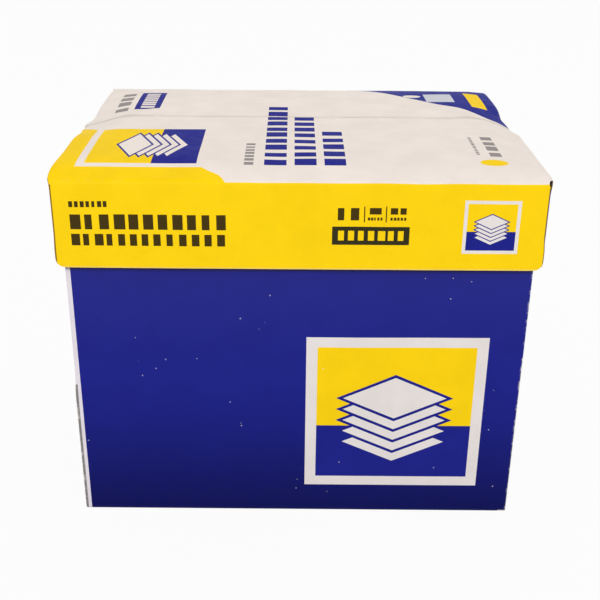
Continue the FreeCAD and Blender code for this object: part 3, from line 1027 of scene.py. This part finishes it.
def wrappedReam(name, material):
    # A block of sheets in its wrapper; at each end two tucks, then the lower flap, then the upper one
    low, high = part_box(name)
    block = bmesh.new()
    bmesh.ops.create_cube(block, size=1.0)
    size = high - low - Vector((ream["layers"] * ream["paper"], 0.0, ream["topRoom"]))
    bmesh.ops.scale(block, vec=size, verts=block.verts)
    bmesh.ops.bevel(block, geom=block.edges[:] + block.verts[:], offset=ream["edgeRound"], affect="EDGES",
                    segments=3, profile=0.5, material=-1)
    longEdges = [edge for edge in block.edges if edge.calc_length() > ream["longEdge"]]
    bmesh.ops.subdivide_edges(block, edges=longEdges, cuts=ream["cuts"], use_grid_fill=True)
    deep, scale, shift = ream["squeeze"]
    for vert in block.verts:
        dent = deep * (noise.noise(vert.co * scale + low * shift) - 1)
        vert.co.y += math.copysign(dent, vert.co.y) * smooth(ream["sideShare"], 1.0, abs(vert.co.y) / high.y)
    bmesh.ops.translate(block, vec=(low + high) / 2, verts=block.verts)
    wide = high.y - ream["sideRoom"]
    bottom, top = low.z + ream["endRoom"], high.z - ream["endRoom"]
    outer, middle, inner = (high.x - layer * ream["paper"] for layer in range(3))
    for side in (-1, 1):
        endLayer(block, side, inner, (-wide, -wide + ream["tuckReach"]), (bottom, top), 0)
        endLayer(block, side, inner, (wide - ream["tuckReach"], wide), (bottom, top), 0)
        endLayer(block, side, middle, (-wide, wide), (bottom, bottom + ream["lowFlap"]), 1)
        endLayer(block, side, outer, (-wide, wide), (top - ream["highFlap"], top), -1)
    mesh = bpy.data.meshes.new(name + "_wrapped")
    block.to_mesh(mesh)
    block.free()
    mesh.materials.append(material)
    return addObject(name + "_wrapped", mesh)


# Build

print("materials")
lidPrints = [
    lidTopMaterial(),
    lidWallMaterial("lidFrontPrint", inks["yellow"], "x", "x"),
    lidWallMaterial("lidBackPrint", inks["navy"], "x", "x"),
    lidWallMaterial("lidLeftPrint", inks["yellow"], "y", "z"),
    lidWallMaterial("lidRightPrint", inks["navy"], "y", "z"),
]
traySide = trayWallMaterial("traySidePrint", "z")
trayPrints = [
    plainBoard("trayFloor", inks["craft"]),
    trayWallMaterial("trayFrontPrint", "x"),
    trayWallMaterial("trayBackPrint", "x"),
    traySide,
    traySide,
]
innerLiner = plainBoard("innerLiner", inks["innerLiner"])

print("carton")
lidSheet = foldedSheet("lidSheet", lid, shapeLid, lidPrints, innerLiner, cutEdge("lidCutEdge", lid))
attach(lidSheet, "lid")
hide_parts("carton_lid")

traySheet = foldedSheet("traySheet", tray, shapeTray, trayPrints, innerLiner, cutEdge("trayCutEdge", tray))
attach(traySheet, "tray")
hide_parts("carton_base")

print("reams")
wrapper = wrapperMaterial()
for name in ream["names"]:
    packed = wrappedReam(name, wrapper)
    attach(packed, "tray")
    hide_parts(name)


# Floor, light and camera

studio = {
    "floorSize": 6.0,
    "floorTone": 0.62,  # the floor's own paint
    "floorRough": 0.8,
    "floorSeen": 0.955,
    "sky": 0.66,
    "lamps": [
        ("keyLamp", (-0.6, -1.7, 0.75), (0, 0, 0.15), 1.3, 11.0),
        ("fillLamp", (1.3, -1.1, 0.8), (0, 0, 0.12), 1.3, 4.6),
        ("topLamp", (0.1, 0.9, 1.8), (0, 0, 0.2), 1.4, 7.3),
    ],
    "camera": (-0.00474, -0.67684, 0.45049),
    "turn": (66.652, -0.313, 0.340),
    "focalPixels": 952.44,
    "centrePixel": (288.64, 251.94),
    "imagePixels": 600,
    "sensor": 36.0,
}


def addFloor():
    bpy.ops.mesh.primitive_plane_add(size=studio["floorSize"])
    floor = bpy.context.object
    floor.name = "floor"
    material, tree, shader = newMaterial("paleFloor")
    tone = studio["floorTone"]
    shader.inputs["Base Color"].default_value = (tone, tone, tone, 1)
    shader.inputs["Roughness"].default_value = studio["floorRough"]
    glow = addNode(tree, "Emission", {}).outputs[0]
    rays = addNode(tree, "LightPath", {}).outputs
    direct = maths(tree, "MAXIMUM", rays["Is Camera Ray"], rays["Is Glossy Ray"])
    seen = times(tree, direct, studio["floorSeen"])
    blend = addNode(tree, "MixShader", {0: seen, 1: shader.outputs[0], 2: glow})
    plug(tree, tree.nodes["Material Output"].inputs["Surface"], blend.outputs[0])
    floor.data.materials.append(material)


def addWorld():
    world = bpy.data.worlds.new("studioWorld")
    bpy.context.scene.world = world
    world.use_nodes = True
    tree = world.node_tree
    background = tree.nodes["Background"]
    background.inputs["Color"].default_value = (1, 1, 1, 1)
    rays = addNode(tree, "LightPath", {}).outputs
    mirrorRays = maths(tree, "MAXIMUM", rays["Is Glossy Ray"], rays["Is Transmission Ray"])
    seen = maths(tree, "MAXIMUM", rays["Is Camera Ray"], mirrorRays)
    strength = maths(tree, "MULTIPLY_ADD", seen, 1 - studio["sky"], studio["sky"])
    plug(tree, background.inputs["Strength"], strength)


def addLamps():
    for name, place, target, size, power in studio["lamps"]:
        data = bpy.data.lights.new(name, "AREA")
        data.shape = "SQUARE"
        data.size = size
        data.energy = power
        lamp = addObject(name, data)
        lamp.location = place
        lamp.rotation_euler = (Vector(target) - Vector(place)).to_track_quat("-Z", "Y").to_euler()


def addCamera():
    data = bpy.data.cameras.new("camera")
    data.sensor_width = studio["sensor"]
    data.lens = studio["focalPixels"] / studio["imagePixels"] * studio["sensor"]
    half = studio["imagePixels"] / 2
    data.shift_x = (half - studio["centrePixel"][0]) / studio["imagePixels"]
    data.shift_y = (studio["centrePixel"][1] - half) / studio["imagePixels"]
    data.clip_start = 0.01
    camera = addObject("camera", data)
    camera.location = studio["camera"]
    camera.rotation_euler = [math.radians(angle) for angle in studio["turn"]]
    bpy.context.scene.camera = camera


print("studio")
addFloor()
addWorld()
addLamps()
addCamera()
bpy.context.scene.view_settings.view_transform = "Standard"
